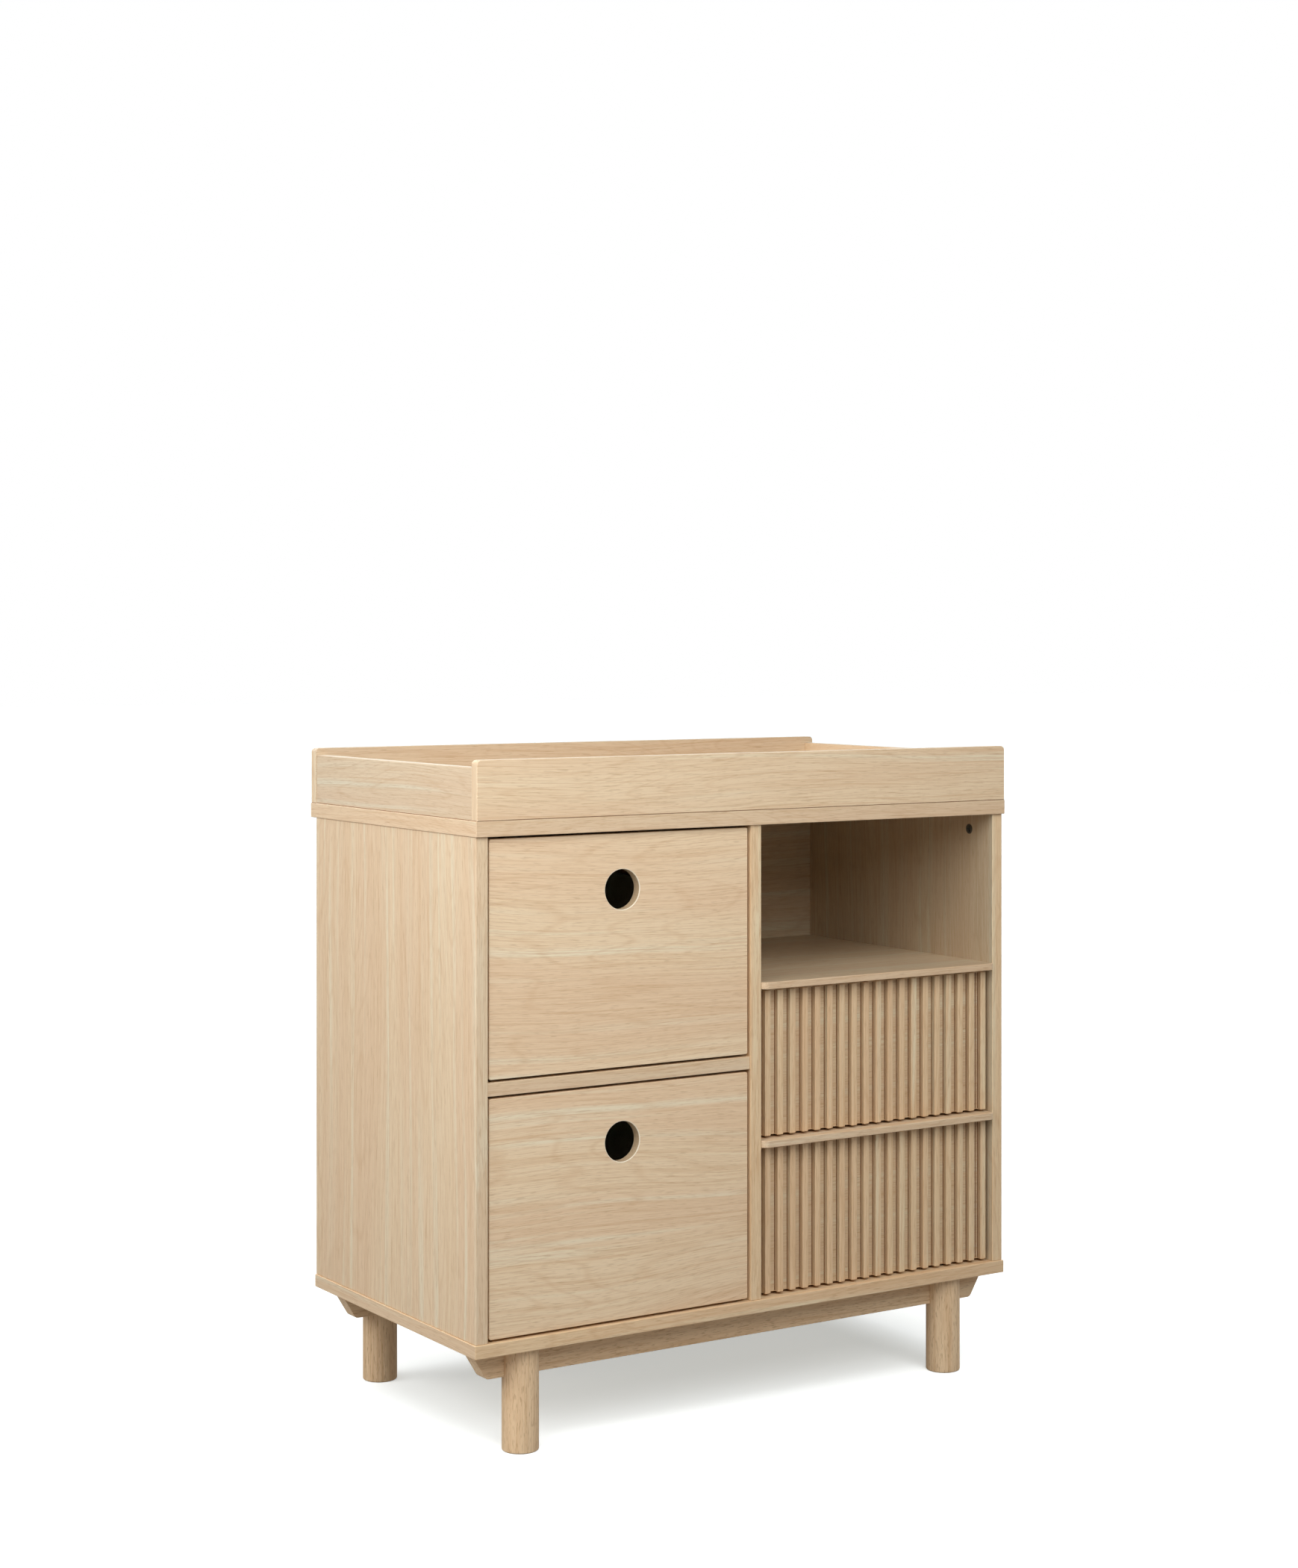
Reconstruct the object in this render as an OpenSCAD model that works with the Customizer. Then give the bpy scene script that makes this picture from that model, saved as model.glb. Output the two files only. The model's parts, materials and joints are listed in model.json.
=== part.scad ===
// Changing table: a nursery dresser with a low-walled changing tray on top.
// Two plain drawers with finger holes stand on the left, and an open niche over two
// reeded drawers on the right. Four round legs are half-lapped onto two stretchers.
// Millimetres, +Z up, front towards -Y. The origin is on the floor, under the middle
// of the overall width and depth.

/* [Overall] */
// Width over the top panel
table_w = 900; // [820:10:1000]
// Depth of the top panel
top_d = 495; // [480:5:560]
// Height of the changing surface above the floor
surface_h = 843; // [800:1:900]
// Height of the tray's front and back boards
tray_front_h = 80; // [70:1:110]
// Height of the tray's side boards
tray_side_h = 70; // [50:1:70]

/* [Boards] */
// Thickness of the uprights, the base panel and the drawer rail
board_t = 18; // [18:1:19]
// Thickness of the top panel
top_t = 21; // [19:1:25]
// Thickness of the tray boards
tray_t = 15; // [15:1:18]
// Thickness of the two lipped shelves
shelf_t = 10; // [10:1:14]

/* [Drawers] */
// Gap around each drawer front
front_gap = 3.5; // [2:0.5:4]
// Thickness of the plain drawer fronts
plain_front_t = 15; // [15:1:18]
// Diameter of the finger holes
finger_hole_d = 55; // [35:1:60]
// Ribs on each reeded drawer front
rib_count = 19; // [15:1:20]
// Width of one rib
rib_w = 9.6; // [8:0.2:10]
// How far the ribs stand out of their board
rib_depth = 8; // [4:1:8]
// Length of the runners and the drawer boxes
runner_length = 400; // [350:10:400]

/* [Legs] */
// Height of the legs
leg_h = 139; // [100:1:160]
// Diameter of the legs
leg_d = 50; // [46:1:56]
// Height of the stretchers
stretcher_h = 39; // [34:1:42]

/* [Hidden] */
$fn = 48;

// Colours of the preview
oak = [0.82, 0.70, 0.54];
oak_light = [0.87, 0.77, 0.61];
oak_dark = [0.76, 0.63, 0.46];
box_white = [0.90, 0.89, 0.86];
beech = [0.80, 0.62, 0.42];
steel = [0.68, 0.69, 0.71];

// Heights
base_top = leg_h + board_t;
top_bottom = surface_h - top_t;
inner_h = top_bottom - base_top;

// Depths, from the front to the back
lip_reach = 2;                      // shelf lips stand in front of the top panel
top_overhang = 4.5;                 // top panel stands in front of the uprights
base_overhang = 2;                  // base panel stands in front of the uprights
back_overhang = 14;                 // top panel stands behind the uprights
overall_d = top_d + lip_reach;
lip_front_y = -overall_d / 2;
top_front_y = lip_front_y + lip_reach;
top_back_y = overall_d / 2;
upright_front_y = top_front_y + top_overhang;
base_front_y = upright_front_y - base_overhang;
carcass_back_y = top_back_y - back_overhang;
upright_d = carcass_back_y - upright_front_y;

// Widths, from the left to the right
side_inset = 2;                     // top panel stands out past the side panels
side_x = table_w / 2 - side_inset;
bay_w = side_x - 1.5 * board_t;
left_bay_x = -side_x + board_t;
right_bay_x = board_t / 2;

// Back panels, held in grooves
back_t = 6;
back_inset = 14;
groove_depth = 5;
back_y = carcass_back_y - back_inset - back_t;

// Left bay: two equal openings with a rail between them
rail_d = 90;
rail_recess = 2;
plain_open_h = (inner_h - board_t) / 2;
rail_z = base_top + plain_open_h;
plain_lower_z = base_top;
plain_upper_z = rail_z + board_t;

// Right bay: two equal openings under a niche
reeded_open_h = 212;
drawer_shelf_z = base_top + reeded_open_h;
reeded_upper_z = drawer_shelf_z + shelf_t;
niche_shelf_z = reeded_upper_z + reeded_open_h;
reeded_lower_z = base_top;
shelf_corner_r = 10;
shelf_d = back_y - lip_front_y;

// Tray boards
tray_inset = 1;
tray_side_inset = 2;
tray_corner_r = 6;

// Drawer fronts
front_w = bay_w - 2 * front_gap;
plain_recess = 3;
front_corner_r = 3;
finger_hole_drop = 76;              // from the front's top edge to the hole's centre
reeded_recess = 9;
reeded_board_t = 10;
first_rib_x = 9.6;                  // flat strip before the first rib
rib_pitch = (front_w - first_rib_x - rib_w - 2) / (rib_count - 1);

// Drawer boxes
box_t = 12;
runner_gap = 13;                    // room for one runner beside the box
box_w = bay_w - 2 * runner_gap;
box_lift = 14;                      // from the opening's floor to the box
plain_box_h = 220;
reeded_box_h = 140;
bottom_t = 5;
bottom_lift = 10;
bottom_groove = 6;
plain_box_y = upright_front_y + plain_recess + plain_front_t;
reeded_box_y = upright_front_y + reeded_recess + rib_depth + reeded_board_t;

// Runners: three nested channels, each [web x, lip reach, half height]
runner_lift = 62;                   // from the opening's floor to the runner's middle
channel_t = 1.5;
cabinet_channel = [0, 9, 22.5];
middle_channel = [3, 8, 19.5];
drawer_channel = [6, 7, 16];

// Legs and stretchers
leg_side_inset = 88;
leg_front_inset = 35;
leg_x = table_w / 2 - leg_side_inset;
front_leg_y = base_front_y + leg_front_inset;
rear_leg_y = carcass_back_y - leg_front_inset;
leg_r = leg_d / 2;
foot_chamfer = 1.5;
stretcher_top_inset = 12;
stretcher_bevel_run = 24;
stretcher_corner_r = 8;
stretcher_z = leg_h - stretcher_h;

// Cam fittings and dowels between the uprights and the top and base panels
cam_d = 15;
cam_depth = 12.5;
cam_edge = 25;                      // from the upright's end to the cam's centre
cam_front = 54;                     // from the upright's front or back edge
cam_slot_l = 9;
cam_slot_w = 2;
cam_slot_depth = 2.5;
bolt_d = 6;
bolt_embed = 11;                    // into the top or base panel
bolt_mouth = 4;                     // stops this far from the cam's centre
dowel_d = 8;
dowel_depth = 12;
dowel_step = 32;                    // from a cam to its dowel
shelf_dowel_d = 5;
end_depth = 16;                     // into the end of a rail or shelf
rail_dowel_ys = [upright_front_y + 22, upright_front_y + 72];
shelf_dowel_ys = [upright_front_y + 50, back_y - 50];

// Screws
screw_d = 4;
screw_head_d = 9;
screw_head_h = 3;
tray_screw_l = 45;
tray_screw_xs = [-380, -150, 150, 380];
tray_screw_ys = [-80, 80];
base_screw_l = 42;
stretcher_screw_xs = [-180, 180];
leg_screw_offset = 8;               // from the leg's centre, away from the stretcher
leg_screw_side = 11;                // from the leg's centre, towards the middle
lap_bolt_d = 8;
lap_bolt_head_d = 16;
lap_bolt_head_h = 5;
lap_bolt_l = 38;

upright_faces = [
    [-side_x, 1],                   // left panel, cams open towards +X
    [-board_t / 2, -1],             // divider, cams open towards -X
    [side_x - board_t, -1],         // right panel, cams open towards -X
];
cam_ys = [upright_front_y + cam_front, carcass_back_y - cam_front];
dowel_ys = [cam_ys[0] + dowel_step, cam_ys[1] - dowel_step];

// ---------------------------------------------------------------- shared shapes

// A cuboid from its lowest corner.
module block(corner, size) {
    translate(corner) cube(size);
}

// A cylinder along +Y from its front centre.
module rod_y(start, d, length) {
    translate(start) rotate([-90, 0, 0]) cylinder(d = d, h = length);
}

// A cylinder along +X from its left centre.
module rod_x(start, d, length) {
    translate(start) rotate([0, 90, 0]) cylinder(d = d, h = length);
}

// A cylinder along +Z from its bottom centre.
module rod_z(start, d, length) {
    translate(start) cylinder(d = d, h = length);
}

// A board standing in the XZ plane, its corners rounded in that plane.
// The two bottom corners stay square if round_bottom is false.
module rounded_board(corner, size, r, round_bottom) {
    foot = round_bottom ? r : 0;
    block(corner + [r, 0, 0], [size.x - 2 * r, size.y, size.z]);
    block(corner + [0, 0, foot], [size.x, size.y, size.z - r - foot]);
    for (x = [r, size.x - r]) {
        rod_y(corner + [x, 0, size.z - r], 2 * r, size.y);
        if (round_bottom) rod_y(corner + [x, 0, r], 2 * r, size.y);
    }
}

// ---------------------------------------------------------------- fittings

// Places its children at each cam: origin at the cam's centre on the upright's
// middle plane, +Z towards the panel that the cam pulls on, +X out of the bore.
module at_cams(face) {
    for (y = cam_ys)
        for (end = [-1, 1])
            translate([face[0] + board_t / 2, y, end > 0 ? top_bottom - cam_edge : base_top + cam_edge])
                scale([face[1], 1, end]) children();
}

module cam_bores(face) {
    at_cams(face) {
        rod_x([board_t / 2 - cam_depth, 0, 0], cam_d, cam_depth + 1);
        rod_z([0, 0, 0], bolt_d, cam_edge + 1);
    }
}

// Dowels that stand in the uprights' ends, longer by extra to cut their holes.
module upright_dowels(face, extra) {
    for (y = dowel_ys)
        for (z = [base_top, top_bottom])
            rod_z([face[0] + board_t / 2, y, z - dowel_depth - extra], dowel_d, 2 * (dowel_depth + extra));
}

// Dowels in both ends of a rail or shelf.
module end_dowels(bay_x, z, ys, d, panel_depth, extra) {
    for (y = ys) {
        rod_x([bay_x - panel_depth - extra, y, z], d, panel_depth + end_depth + 2 * extra);
        rod_x([bay_x + bay_w - end_depth - extra, y, z], d, panel_depth + end_depth + 2 * extra);
    }
}

module rail_dowels(extra) {
    end_dowels(left_bay_x, rail_z + board_t / 2, rail_dowel_ys, dowel_d, dowel_depth, extra);
}

module shelf_dowels(shelf_z, extra) {
    end_dowels(right_bay_x, shelf_z + shelf_t / 2, shelf_dowel_ys, shelf_dowel_d, dowel_depth, extra);
}

// A countersunk screw that points up from its head.
module screw_up(length) {
    cylinder(d = screw_head_d, h = screw_head_h);
    cylinder(d = screw_d, h = length);
}

module tray_screw_set() {
    half_tray = tray_t / 2;
    for (x = tray_screw_xs)
        for (y = [top_front_y + half_tray, top_back_y - half_tray])
            translate([x, y, top_bottom]) screw_up(tray_screw_l);
    for (x = [-1, 1] * (table_w / 2 - tray_side_inset - half_tray))
        for (y = tray_screw_ys)
            translate([x, y, top_bottom]) screw_up(tray_screw_l);
}

// Screws that point down from inside the base into the legs and stretchers.
module base_screw_set() {
    front_y = front_leg_y + leg_r / 2;
    rear_y = rear_leg_y - leg_r / 2;
    for (x = stretcher_screw_xs)
        for (y = [front_y, rear_y])
            translate([x, y, base_top]) scale([1, 1, -1]) screw_up(base_screw_l);
    for (x = [-1, 1] * (leg_x - leg_screw_side))
        for (y = [front_leg_y - leg_screw_offset, rear_leg_y + leg_screw_offset])
            translate([x, y, base_top]) scale([1, 1, -1]) screw_up(base_screw_l);
}

// A bolt that clamps each half-lap, its head sunk in the stretcher's inner face.
module lap_bolt(x, face_y, direction) {
    translate([x, face_y, stretcher_z + stretcher_h / 2]) scale([1, direction, 1]) {
        rod_y([0, 0, 0], lap_bolt_head_d, lap_bolt_head_h);
        rod_y([0, 0, 0], lap_bolt_d, lap_bolt_l);
    }
}

module lap_bolt_set() {
    for (x = [-leg_x, leg_x]) {
        lap_bolt(x, front_leg_y + leg_r, -1);
        lap_bolt(x, rear_leg_y - leg_r, 1);
    }
}

// ---------------------------------------------------------------- carcass

module back_groove(x, width) {
    block([x, back_y, base_top - groove_depth], [width, back_t, inner_h + 2 * groove_depth]);
}

module left_back_room() {
    back_groove(left_bay_x - groove_depth, bay_w + 2 * groove_depth);
}

module right_back_room() {
    back_groove(right_bay_x - groove_depth, bay_w + 2 * groove_depth);
}

module base_panel() {
    color(oak) difference() {
        block([-table_w / 2, base_front_y, leg_h], [table_w, carcass_back_y - base_front_y, board_t]);
        left_back_room();
        right_back_room();
        for (face = upright_faces) {
            at_cams(face) rod_z([0, 0, 0], bolt_d, cam_edge + bolt_embed);
            upright_dowels(face, 0);
        }
        base_screw_set();
    }
}

module top_panel() {
    color(oak_light) difference() {
        block([-table_w / 2, top_front_y, top_bottom], [table_w, top_d, top_t]);
        left_back_room();
        right_back_room();
        for (face = upright_faces) {
            at_cams(face) rod_z([0, 0, 0], bolt_d, cam_edge + bolt_embed);
            upright_dowels(face, 0);
        }
        tray_screw_set();
    }
}

// An upright board with the bores for its own fittings.
module upright(face) {
    difference() {
        block([face[0], upright_front_y, base_top], [board_t, upright_d, inner_h]);
        cam_bores(face);
        upright_dowels(face, 0);
        children();
    }
}

module left_side_panel() {
    color(oak) upright(upright_faces[0]) {
        left_back_room();
        rail_dowels(0);
    }
}

module centre_divider() {
    color(oak) upright(upright_faces[1]) {
        left_back_room();
        right_back_room();
        rail_dowels(0);
        shelf_dowels(niche_shelf_z, 0);
        shelf_dowels(drawer_shelf_z, 0);
    }
}

module right_side_panel() {
    color(oak) upright(upright_faces[2]) {
        right_back_room();
        shelf_dowels(niche_shelf_z, 0);
        shelf_dowels(drawer_shelf_z, 0);
    }
}

module left_back_panel() {
    color(oak_light) left_back_room();
}

module right_back_panel() {
    color(oak_light) right_back_room();
}

module drawer_rail() {
    color(oak) difference() {
        block([left_bay_x, upright_front_y + rail_recess, rail_z], [bay_w, rail_d, board_t]);
        rail_dowels(0);
    }
}

// A thin shelf whose rounded front corners stand out as a lip.
module lipped_shelf(z) {
    color(oak_light) difference() {
        union() {
            block([right_bay_x, lip_front_y + shelf_corner_r, z],
                  [bay_w, shelf_d - shelf_corner_r, shelf_t]);
            block([right_bay_x + shelf_corner_r, lip_front_y, z],
                  [bay_w - 2 * shelf_corner_r, shelf_d, shelf_t]);
            for (x = [shelf_corner_r, bay_w - shelf_corner_r])
                rod_z([right_bay_x + x, lip_front_y + shelf_corner_r, z], 2 * shelf_corner_r, shelf_t);
        }
        shelf_dowels(z, 0);
    }
}

// ---------------------------------------------------------------- tray

// The long tray board whose front face is at y.
module long_tray_board(y) {
    color(oak_light) difference() {
        rounded_board([-table_w / 2 + tray_inset, y, surface_h],
                      [table_w - 2 * tray_inset, tray_t, tray_front_h], tray_corner_r, false);
        tray_screw_set();
    }
}

// The side tray board whose left face is at x.
module side_tray_board(x) {
    color(oak) difference() {
        block([x, top_front_y + tray_t, surface_h], [tray_t, top_d - 2 * tray_t, tray_side_h]);
        tray_screw_set();
    }
}

// ---------------------------------------------------------------- legs and stretchers

// A stretcher whose front face is at y, its ends sloped up and outwards.
module stretcher(y) {
    top_x = table_w / 2 - stretcher_top_inset;
    foot_x = top_x - stretcher_bevel_run;
    slope = atan2(stretcher_h, stretcher_bevel_run);
    tangent = stretcher_corner_r * tan(slope / 2);
    low_x = foot_x - tangent;
    bend = [foot_x + tangent * cos(slope), tangent * sin(slope)];
    color(oak_dark) difference() {
        union() {
            translate([0, y + leg_r, stretcher_z]) rotate([90, 0, 0]) linear_extrude(leg_r)
                polygon([[-low_x, 0], [low_x, 0], bend, [top_x, stretcher_h],
                         [-top_x, stretcher_h], [-bend.x, bend.y]]);
            for (x = [-low_x, low_x])
                rod_y([x, y, stretcher_z + stretcher_corner_r], 2 * stretcher_corner_r, leg_r);
        }
        base_screw_set();
        lap_bolt_set();
    }
}

// A round leg, lapped over the stretcher that starts at stretcher_y.
module leg(x, y, stretcher_y) {
    color(oak_dark) difference() {
        union() {
            translate([x, y, 0]) cylinder(d1 = leg_d - 2 * foot_chamfer, d2 = leg_d, h = foot_chamfer);
            rod_z([x, y, foot_chamfer], leg_d, leg_h - foot_chamfer);
        }
        block([x - leg_d, stretcher_y, stretcher_z], [2 * leg_d, leg_r, stretcher_h]);
        base_screw_set();
        lap_bolt_set();
    }
}

module front_leg(x) {
    leg(x, front_leg_y, front_leg_y);
}

module rear_leg(x) {
    leg(x, rear_leg_y, rear_leg_y - leg_r);
}

// ---------------------------------------------------------------- fitting nodes

module cam_locks() {
    slot_start = board_t / 2 - cam_slot_depth;
    color(steel) for (face = upright_faces)
        at_cams(face) difference() {
            rod_x([board_t / 2 - cam_depth, 0, 0], cam_d, cam_depth);
            rod_z([0, 0, 0], bolt_d, cam_d);
            for (turn = [0, 90])
                rotate([turn, 0, 0])
                    block([slot_start, -cam_slot_w / 2, -cam_slot_l / 2],
                          [cam_slot_depth + 1, cam_slot_w, cam_slot_l]);
        }
}

module cam_bolts() {
    color(steel) for (face = upright_faces)
        at_cams(face) rod_z([0, 0, bolt_mouth], bolt_d, cam_edge + bolt_embed - bolt_mouth);
}

module dowels() {
    color(beech) {
        for (face = upright_faces) upright_dowels(face, 0);
        rail_dowels(0);
        shelf_dowels(niche_shelf_z, 0);
        shelf_dowels(drawer_shelf_z, 0);
    }
}

module tray_screws() {
    color(steel) tray_screw_set();
}

module base_screws() {
    color(steel) base_screw_set();
}

module lap_bolts() {
    color(steel) lap_bolt_set();
}

// ---------------------------------------------------------------- drawers

// A panel under a drawer box: into both sides and the front, and under the back.
module box_bottom_room(bay_x, z, box_y) {
    block([bay_x + runner_gap + box_t - bottom_groove, box_y - bottom_groove, z + box_lift + bottom_lift],
          [box_w - 2 * (box_t - bottom_groove), runner_length + bottom_groove, bottom_t]);
}

module plain_front(z) {
    front_h = plain_open_h - 2 * front_gap;
    corner = [left_bay_x + front_gap, upright_front_y + plain_recess, z + front_gap];
    color(oak_light) difference() {
        rounded_board(corner, [front_w, plain_front_t, front_h], front_corner_r, true);
        rod_y(corner + [front_w / 2, -1, front_h - finger_hole_drop], finger_hole_d, plain_front_t + 2);
        box_bottom_room(left_bay_x, z, plain_box_y);
    }
}

module reeded_front(z) {
    front_h = reeded_open_h - 2 * front_gap;
    corner = [right_bay_x + front_gap, upright_front_y + reeded_recess, z + front_gap];
    color(oak) difference() {
        union() {
            block(corner + [0, rib_depth, 0], [front_w, reeded_board_t, front_h]);
            for (i = [0:rib_count - 1])
                block(corner + [first_rib_x + i * rib_pitch, 0, 0], [rib_w, rib_depth, front_h]);
        }
        box_bottom_room(right_bay_x, z, reeded_box_y);
    }
}

// The side of a drawer box; x is its left face.
module box_side(x, bay_x, z, box_y, box_h) {
    color(box_white) difference() {
        block([x, box_y, z + box_lift], [box_t, runner_length, box_h]);
        box_bottom_room(bay_x, z, box_y);
    }
}

module box_left_side(bay_x, z, box_y, box_h) {
    box_side(bay_x + runner_gap, bay_x, z, box_y, box_h);
}

module box_right_side(bay_x, z, box_y, box_h) {
    box_side(bay_x + bay_w - runner_gap - box_t, bay_x, z, box_y, box_h);
}

module box_back(bay_x, z, box_y, box_h) {
    lift = bottom_lift + bottom_t;
    color(box_white)
        block([bay_x + runner_gap + box_t, box_y + runner_length - box_t, z + box_lift + lift],
              [box_w - 2 * box_t, box_t, box_h - lift]);
}

module box_bottom(bay_x, z, box_y) {
    color(box_white) box_bottom_room(bay_x, z, box_y);
}

// A pair of runner channels. Their webs are on the panel's side of the lips,
// or on the drawer's side if they face the panel.
module channel_pair(bay_x, z, box_y, channel, faces_panel) {
    start = channel[0];
    reach = channel[1];
    half_h = channel[2];
    web_x = faces_panel ? start + reach - channel_t : start;
    color(steel) for (side = [1, -1])
        translate([side > 0 ? bay_x : bay_x + bay_w, box_y, z + runner_lift]) scale([side, 1, 1]) {
            block([web_x, 0, -half_h], [channel_t, runner_length, 2 * half_h]);
            for (lip_z = [-half_h, half_h - channel_t])
                block([start, 0, lip_z], [reach, runner_length, channel_t]);
        }
}

module cabinet_runners(bay_x, z, box_y) {
    channel_pair(bay_x, z, box_y, cabinet_channel, false);
}

module middle_runners(bay_x, z, box_y) {
    channel_pair(bay_x, z, box_y, middle_channel, false);
}

module drawer_runners(bay_x, z, box_y) {
    channel_pair(bay_x, z, box_y, drawer_channel, true);
}

// ---------------------------------------------------------------- nodes

tray_left_x = -table_w / 2 + tray_side_inset;
tray_right_x = table_w / 2 - tray_side_inset - tray_t;

base_panel();
left_side_panel();
right_side_panel();
centre_divider();
top_panel();
left_back_panel();
right_back_panel();
drawer_rail();
lipped_shelf(niche_shelf_z);  // niche_shelf
lipped_shelf(drawer_shelf_z);  // drawer_shelf
long_tray_board(top_front_y);  // tray_front_board
long_tray_board(top_back_y - tray_t);  // tray_back_board
side_tray_board(tray_left_x);  // tray_left_board
side_tray_board(tray_right_x);  // tray_right_board
stretcher(front_leg_y);  // front_stretcher
stretcher(rear_leg_y - leg_r);  // rear_stretcher
front_leg(-leg_x);  // front_left_leg
front_leg(leg_x);  // front_right_leg
rear_leg(-leg_x);  // rear_left_leg
rear_leg(leg_x);  // rear_right_leg
cam_locks();
cam_bolts();
dowels();
tray_screws();
base_screws();
lap_bolts();

plain_front(plain_upper_z);  // plain_upper_front
box_left_side(left_bay_x, plain_upper_z, plain_box_y, plain_box_h);  // plain_upper_left_side
box_right_side(left_bay_x, plain_upper_z, plain_box_y, plain_box_h);  // plain_upper_right_side
box_back(left_bay_x, plain_upper_z, plain_box_y, plain_box_h);  // plain_upper_back
box_bottom(left_bay_x, plain_upper_z, plain_box_y);  // plain_upper_bottom
cabinet_runners(left_bay_x, plain_upper_z, plain_box_y);  // plain_upper_cabinet_runners
middle_runners(left_bay_x, plain_upper_z, plain_box_y);  // plain_upper_middle_runners
drawer_runners(left_bay_x, plain_upper_z, plain_box_y);  // plain_upper_drawer_runners

plain_front(plain_lower_z);  // plain_lower_front
box_left_side(left_bay_x, plain_lower_z, plain_box_y, plain_box_h);  // plain_lower_left_side
box_right_side(left_bay_x, plain_lower_z, plain_box_y, plain_box_h);  // plain_lower_right_side
box_back(left_bay_x, plain_lower_z, plain_box_y, plain_box_h);  // plain_lower_back
box_bottom(left_bay_x, plain_lower_z, plain_box_y);  // plain_lower_bottom
cabinet_runners(left_bay_x, plain_lower_z, plain_box_y);  // plain_lower_cabinet_runners
middle_runners(left_bay_x, plain_lower_z, plain_box_y);  // plain_lower_middle_runners
drawer_runners(left_bay_x, plain_lower_z, plain_box_y);  // plain_lower_drawer_runners

reeded_front(reeded_upper_z);  // reeded_upper_front
box_left_side(right_bay_x, reeded_upper_z, reeded_box_y, reeded_box_h);  // reeded_upper_left_side
box_right_side(right_bay_x, reeded_upper_z, reeded_box_y, reeded_box_h);  // reeded_upper_right_side
box_back(right_bay_x, reeded_upper_z, reeded_box_y, reeded_box_h);  // reeded_upper_back
box_bottom(right_bay_x, reeded_upper_z, reeded_box_y);  // reeded_upper_bottom
cabinet_runners(right_bay_x, reeded_upper_z, reeded_box_y);  // reeded_upper_cabinet_runners
middle_runners(right_bay_x, reeded_upper_z, reeded_box_y);  // reeded_upper_middle_runners
drawer_runners(right_bay_x, reeded_upper_z, reeded_box_y);  // reeded_upper_drawer_runners

reeded_front(reeded_lower_z);  // reeded_lower_front
box_left_side(right_bay_x, reeded_lower_z, reeded_box_y, reeded_box_h);  // reeded_lower_left_side
box_right_side(right_bay_x, reeded_lower_z, reeded_box_y, reeded_box_h);  // reeded_lower_right_side
box_back(right_bay_x, reeded_lower_z, reeded_box_y, reeded_box_h);  // reeded_lower_back
box_bottom(right_bay_x, reeded_lower_z, reeded_box_y);  // reeded_lower_bottom
cabinet_runners(right_bay_x, reeded_lower_z, reeded_box_y);  // reeded_lower_cabinet_runners
middle_runners(right_bay_x, reeded_lower_z, reeded_box_y);  // reeded_lower_middle_runners
drawer_runners(right_bay_x, reeded_lower_z, reeded_box_y);  // reeded_lower_drawer_runners
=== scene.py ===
"""Looks for a nursery changing table: light oak foil boards, eased edges, steel fittings and a soft studio.

Metres, +Z up, front towards -Y. Every board is a copy of its CAD board with eased edges and the finish
of the real one; the fittings keep their CAD shape. Each piece rides on the body that its board is in.
"""

import json
import math

import bmesh
import bpy
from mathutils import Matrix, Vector


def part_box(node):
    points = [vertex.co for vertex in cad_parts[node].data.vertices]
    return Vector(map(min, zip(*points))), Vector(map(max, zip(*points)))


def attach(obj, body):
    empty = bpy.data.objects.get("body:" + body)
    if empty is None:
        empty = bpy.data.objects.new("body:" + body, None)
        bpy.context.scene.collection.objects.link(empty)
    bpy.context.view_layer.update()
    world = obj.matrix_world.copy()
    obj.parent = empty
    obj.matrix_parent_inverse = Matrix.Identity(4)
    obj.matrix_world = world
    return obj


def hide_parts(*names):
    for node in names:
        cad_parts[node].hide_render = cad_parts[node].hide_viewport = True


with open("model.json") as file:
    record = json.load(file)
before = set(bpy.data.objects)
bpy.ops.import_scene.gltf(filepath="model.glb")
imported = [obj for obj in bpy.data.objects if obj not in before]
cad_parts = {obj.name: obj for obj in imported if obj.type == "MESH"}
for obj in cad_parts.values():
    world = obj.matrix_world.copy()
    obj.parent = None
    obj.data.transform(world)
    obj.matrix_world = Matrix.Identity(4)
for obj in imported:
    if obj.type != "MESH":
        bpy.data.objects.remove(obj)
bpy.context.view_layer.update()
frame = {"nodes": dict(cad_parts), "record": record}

MM = 0.001
AXES = "xyz"

# A face looks straight along an axis when its normal's part along it is over this.
STRAIGHT = 0.99
BODY_OF = {node: body for body, nodes in frame["record"]["behaviour"]["bodies"].items() for node in nodes}
SLOT_OF = {part["node"]: part["material_slot"] for part in frame["record"]["subparts"]}
DRAWERS = ("plain_upper", "plain_lower", "reeded_upper", "reeded_lower")


# ---------------------------------------------------------------- edges

# A CAD mesh is welded and its flat faces joined before its sharp edges are eased in a few steps.
WELD = 0.001 * MM
FLAT = math.radians(0.5)
SHARP = math.radians(30)
EASE_STEPS = 3
# The bores for fittings are smaller than this, and stay sharp.
LARGEST_BORE = 20 * MM


def chain_size(chain):
    """The longest side of the box round some edges."""
    corners = [vert.co for edge in chain for vert in edge.verts]
    return max(max(c[axis] for c in corners) - min(c[axis] for c in corners) for axis in range(3))


def outline_edges(mesh):
    """The sharp edges of a board's own outline and of its large holes, without those of its small bores."""
    waiting = {e for e in mesh.edges if len(e.link_faces) == 2 and e.calc_face_angle() > SHARP}
    outline = []
    while waiting:
        chain = []
        reached = [waiting.pop()]
        while reached:
            edge = reached.pop()
            chain.append(edge)
            touching = {e for vert in edge.verts for e in vert.link_edges} & waiting
            waiting -= touching
            reached.extend(touching)
        if chain_size(chain) > LARGEST_BORE:
            outline.extend(chain)
    return outline


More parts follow.
